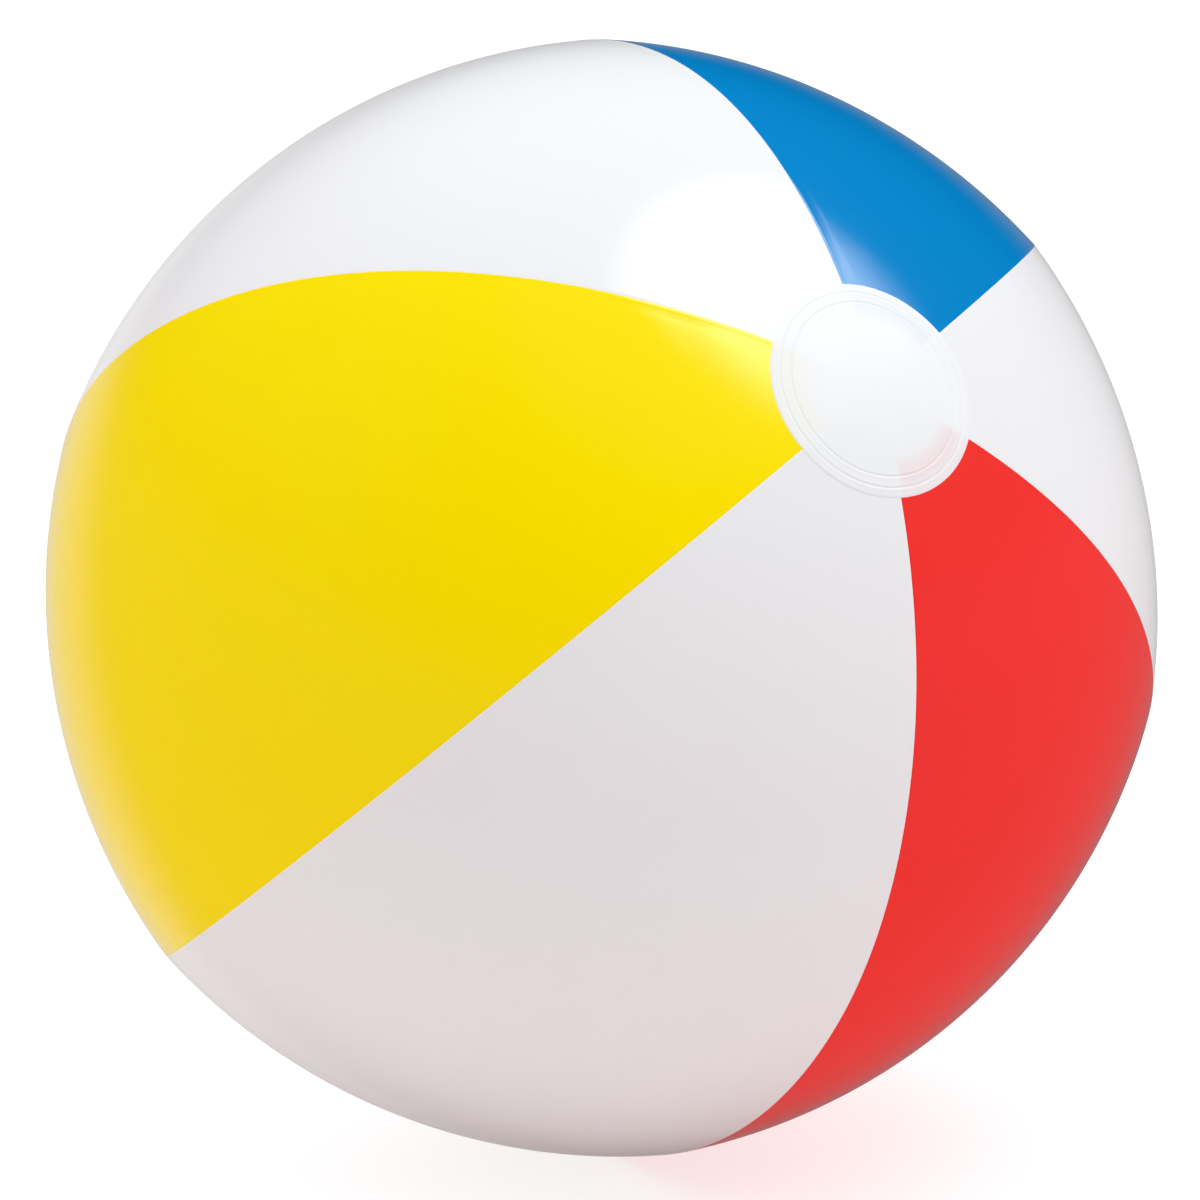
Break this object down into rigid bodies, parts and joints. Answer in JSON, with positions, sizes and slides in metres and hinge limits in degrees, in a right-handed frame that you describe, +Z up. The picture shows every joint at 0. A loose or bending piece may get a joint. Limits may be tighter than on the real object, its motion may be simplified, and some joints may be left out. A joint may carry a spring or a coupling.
{
  "type": "inflatable beach ball",
  "caption": "Inflated vinyl beach ball of coloured and white gore panels with round pole discs and a push-in plug valve.",
  "frame": {"origin": "centre of the inflated ball", "axes": "+Z up as the ball lies in its stored pose; +Y along the valve's axis, out of the ball; the poles' axis is tilted between them"},
  "size_m": [0.4014, 0.4057, 0.4078],
  "materials": {
    "white_vinyl": "glossy opaque white vinyl film",
    "yellow_vinyl": "glossy yellow vinyl film",
    "blue_vinyl": "glossy blue vinyl film",
    "red_vinyl": "glossy red vinyl film",
    "disc_vinyl": "glossy milky vinyl film with a little show-through",
    "valve_vinyl": "soft milky moulded vinyl"
  },
  "bodies": {
    "ball": {"white_panel_front": "white_vinyl", "red_panel": "red_vinyl", "white_panel_right": "white_vinyl", "blue_panel": "blue_vinyl", "white_panel_valve": "white_vinyl", "yellow_panel": "yellow_vinyl", "front_pole_disc": "disc_vinyl", "back_pole_disc": "disc_vinyl", "valve_flange": "valve_vinyl", "valve_web": "valve_vinyl"},
    "valve_stem": {"valve_stem": "valve_vinyl", "plug_strap": "valve_vinyl"},
    "valve_plug": {"valve_plug": "valve_vinyl"},
    "check_flap": {"check_flap": "valve_vinyl"}
  },
  "joints": [
    {"name": "valve_lift", "type": "slide", "parent": "ball", "child": "valve_stem", "axis": [0, 1, 0], "range_m": [0, 0.013], "deforming": ["valve_web"]},
    {"name": "plug_pull", "type": "slide", "parent": "valve_stem", "child": "valve_plug", "axis": [0, 1, 0], "range_m": [0, 0.0085], "deforming": ["plug_strap"]},
    {"name": "flap_hinge", "type": "hinge", "parent": "valve_stem", "child": "check_flap", "pos_m": [-0.00094, 0.18765, 0.00672], "axis": [-1, 0, 0], "range_deg": [0, 50]}
  ]
}
